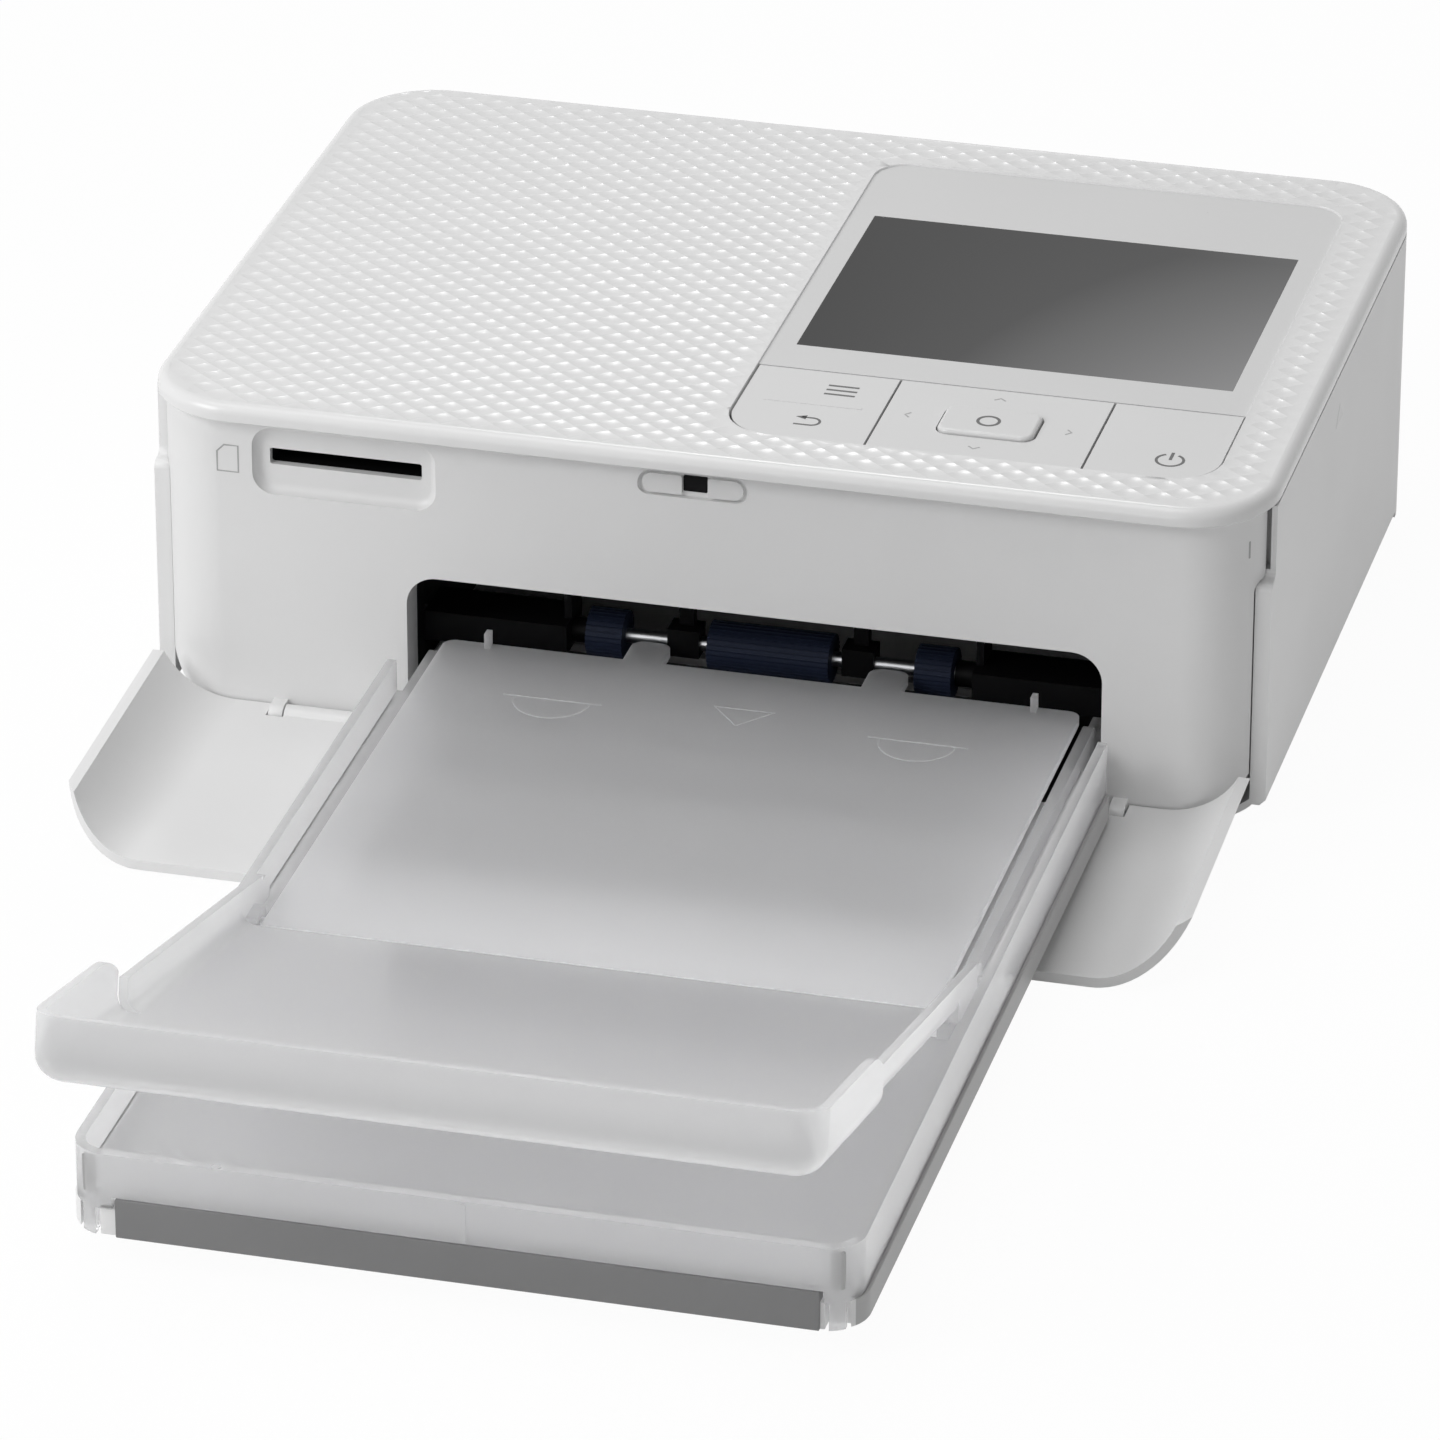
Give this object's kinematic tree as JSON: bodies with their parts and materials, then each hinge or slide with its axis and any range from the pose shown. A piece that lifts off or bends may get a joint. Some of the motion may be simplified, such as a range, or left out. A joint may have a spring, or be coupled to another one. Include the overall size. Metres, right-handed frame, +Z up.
{
  "type": "compact photo printer",
  "caption": "Compact photo printer with a tilting control pad, a drop-down front door, an ink door and a slide-out paper cassette with a flip-over cover.",
  "frame": {"origin": "middle of the footprint of the whole printer with its cassette in place, at the level of the rubber feet", "axes": "+X to the right seen from the front, the front with the mouth and the cassette faces -Y, +Z up"},
  "size_m": [0.1822, 0.3176, 0.058],
  "materials": {
    "white_plastic": "semi-gloss white",
    "key_plastic": "semi-gloss white",
    "display_glass": "gloss, dark display window",
    "black_plastic": "matte black",
    "grey_plastic": "matte light grey",
    "frost_plastic": "translucent grey",
    "navy_rubber": "matte",
    "black_rubber": "matte",
    "foot_rubber": "matte",
    "steel": "satin",
    "plate_steel": "zinc plated sheet",
    "gear_plastic": "natural",
    "pinion_brass": "satin",
    "board": "solder mask green",
    "ribbon": "thin dark film"
  },
  "bodies": {
    "casing": {"bottom_tray": "white_plastic", "front_panel": "white_plastic", "left_side_cover": "white_plastic", "rear_panel": "white_plastic", "top_cover": "white_plastic", "rubber_feet": "foot_rubber", "control_panel": "white_plastic", "lcd_window": "display_glass", "lcd_module": "black_plastic", "key_carrier": "black_plastic", "key_board": "board", "main_board": "board", "card_slot": "black_plastic", "door_hinge_pins": "steel", "left_frame_plate": "plate_steel", "right_frame_plate": "plate_steel", "frame_crossbars": "steel", "feed_guide": "black_plastic", "idler_pins": "steel", "gear_bracket": "plate_steel", "feed_motor": "steel", "head_pivot_rod": "steel", "power_inlet": "black_plastic", "usb_port": "steel"},
    "front_door_body": {"front_door": "white_plastic"},
    "ink_door_body": {"ink_door": "white_plastic"},
    "cassette": {"cassette_base": "grey_plastic", "cassette_frame": "frost_plastic"},
    "lift_plate": {"paper_lift_plate": "grey_plastic"},
    "lid": {"inner_lid": "frost_plastic"},
    "cover": {"outer_cover": "frost_plastic"},
    "menu_rocker": {"menu_back_key": "key_plastic"},
    "nav_ring": {"nav_gimbal": "black_plastic"},
    "nav_key": {"nav_pad": "key_plastic"},
    "confirm_key": {"ok_key": "key_plastic"},
    "power_button": {"power_key": "key_plastic"},
    "pickup": {"pickup_shaft": "steel", "pickup_rollers": "navy_rubber", "pickup_gear": "gear_plastic"},
    "platen": {"platen_shaft": "steel", "platen_roller": "black_rubber", "platen_gear": "gear_plastic"},
    "capstan": {"capstan_roller": "steel", "capstan_gear": "gear_plastic"},
    "pinch": {"pinch_roller": "black_rubber"},
    "idler_a": {"idler_gear_a": "gear_plastic"},
    "idler_b": {"idler_gear_b": "gear_plastic"},
    "idler_c": {"idler_gear_c": "gear_plastic"},
    "pinion": {"motor_pinion": "pinion_brass"},
    "takeup_drive": {"takeup_gear": "gear_plastic"},
    "head": {"head_arm": "steel", "thermal_head": "plate_steel"},
    "ink_cartridge": {"ribbon_cartridge": "grey_plastic", "ribbon_film": "ribbon"},
    "supply": {"supply_spool": "ribbon"},
    "takeup": {"takeup_spool": "ribbon"}
  },
  "joints": [
    {"name": "front_door_hinge", "type": "hinge", "parent": "casing", "child": "front_door_body", "pos_m": [0, 0.02672, 0.0035], "axis": [-1, 0, 0], "range_deg": [0, 1.8]},
    {"name": "ink_door_hinge", "type": "hinge", "parent": "casing", "child": "ink_door_body", "pos_m": [0.089, 0.08682, 0.0066], "axis": [0, 1, 0], "range_deg": [0, 90]},
    {"name": "cassette_slide", "type": "slide", "parent": "casing", "child": "cassette", "axis": [0, -1, 0], "range_m": [0, 0.2]},
    {"name": "lift_plate_hinge", "type": "hinge", "parent": "cassette", "child": "lift_plate", "pos_m": [0.0097, -0.04318, 0.0076], "axis": [1, 0, 0], "range_deg": [0, 2.4]},
    {"name": "inner_lid_hinge", "type": "hinge", "parent": "cassette", "child": "lid", "pos_m": [0.0097, -0.06438, 0.0165], "axis": [1, 0, 0], "range_deg": [0, 3.5]},
    {"name": "outer_cover_hinge", "type": "hinge", "parent": "cassette", "child": "cover", "pos_m": [0.0097, -0.05618, 0.0166], "axis": [-1, 0, 0], "range_deg": [0, 130]},
    {"name": "menu_rocker_hinge", "type": "hinge", "parent": "casing", "child": "menu_rocker", "pos_m": [0.0134, 0.04992, 0.054], "axis": [1, 0, 0], "range_deg": [-1.5, 1.5], "stiffness_Nm_per_rad": 0.02},
    {"name": "nav_tilt_front_rear", "type": "hinge", "parent": "casing", "child": "nav_ring", "pos_m": [0.0425, 0.04992, 0.054], "axis": [1, 0, 0], "range_deg": [-1.2, 1.2], "stiffness_Nm_per_rad": 0.02},
    {"name": "nav_tilt_left_right", "type": "hinge", "parent": "nav_ring", "child": "nav_key", "pos_m": [0.0425, 0.04992, 0.054], "axis": [0, 1, 0], "range_deg": [-1.2, 1.2], "stiffness_Nm_per_rad": 0.02},
    {"name": "confirm_key_press", "type": "slide", "parent": "casing", "child": "confirm_key", "axis": [0, 0, -1], "range_m": [0, 0.0003], "stiffness_N_per_m": 800},
    {"name": "power_key_press", "type": "slide", "parent": "casing", "child": "power_button", "axis": [0, 0, -1], "range_m": [0, 0.0003], "stiffness_N_per_m": 800},
    {"name": "platen_spin", "type": "hinge", "parent": "casing", "child": "platen", "pos_m": [-0.0537, 0.09482, 0.018], "axis": [1, 0, 0], "continuous": true},
    {"name": "motor_pinion_spin", "type": "hinge", "parent": "casing", "child": "pinion", "pos_m": [-0.0567, 0.11097, 0.02003], "axis": [1, 0, 0], "continuous": true},
    {"name": "takeup_gear_spin", "type": "hinge", "parent": "casing", "child": "takeup_drive", "pos_m": [-0.0567, 0.11382, 0.033], "axis": [1, 0, 0], "continuous": true},
    {"name": "idler_a_spin", "type": "hinge", "parent": "casing", "child": "idler_a", "pos_m": [-0.0537, 0.07483, 0.0152], "axis": [1, 0, 0], "continuous": true},
    {"name": "idler_b_spin", "type": "hinge", "parent": "casing", "child": "idler_b", "pos_m": [-0.0537, 0.0589, 0.01638], "axis": [1, 0, 0], "continuous": true},
    {"name": "idler_c_spin", "type": "hinge", "parent": "casing", "child": "idler_c", "pos_m": [-0.0537, 0.11492, 0.01619], "axis": [1, 0, 0], "continuous": true},
    {"name": "pickup_spin", "type": "hinge", "parent": "casing", "child": "pickup", "pos_m": [-0.0537, 0.04382, 0.0162], "axis": [1, 0, 0], "continuous": true},
    {"name": "capstan_spin", "type": "hinge", "parent": "casing", "child": "capstan", "pos_m": [-0.0537, 0.12982, 0.02], "axis": [1, 0, 0], "continuous": true},
    {"name": "pinch_spin", "type": "hinge", "parent": "casing", "child": "pinch", "pos_m": [0.0097, 0.12982, 0.0284], "axis": [1, 0, 0], "continuous": true},
    {"name": "head_lift", "type": "hinge", "parent": "casing", "child": "head", "pos_m": [0.0097, 0.13782, 0.038], "axis": [-1, 0, 0], "range_deg": [0, 2.5]},
    {"name": "cartridge_slide", "type": "slide", "parent": "casing", "child": "ink_cartridge", "axis": [1, 0, 0], "range_m": [0, 0.004]},
    {"name": "supply_spool_spin", "type": "hinge", "parent": "ink_cartridge", "child": "supply", "pos_m": [0.0097, 0.07582, 0.033], "axis": [1, 0, 0], "continuous": true},
    {"name": "takeup_spool_spin", "type": "hinge", "parent": "ink_cartridge", "child": "takeup", "pos_m": [0.0097, 0.11382, 0.033], "axis": [1, 0, 0], "continuous": true}
  ],
  "couplings": [
    {"joint": "motor_pinion_spin", "follows": "platen_spin", "ratio": -2.8571},
    {"joint": "takeup_gear_spin", "follows": "platen_spin", "ratio": 1.3333},
    {"joint": "takeup_spool_spin", "follows": "platen_spin", "ratio": 1.3333},
    {"joint": "idler_a_spin", "follows": "platen_spin", "ratio": -1.4815},
    {"joint": "idler_b_spin", "follows": "platen_spin", "ratio": 1.5385},
    {"joint": "pickup_spin", "follows": "platen_spin", "ratio": -1.6667},
    {"joint": "idler_c_spin", "follows": "platen_spin", "ratio": -1.4815},
    {"joint": "capstan_spin", "follows": "platen_spin", "ratio": 1.6667}
  ]
}
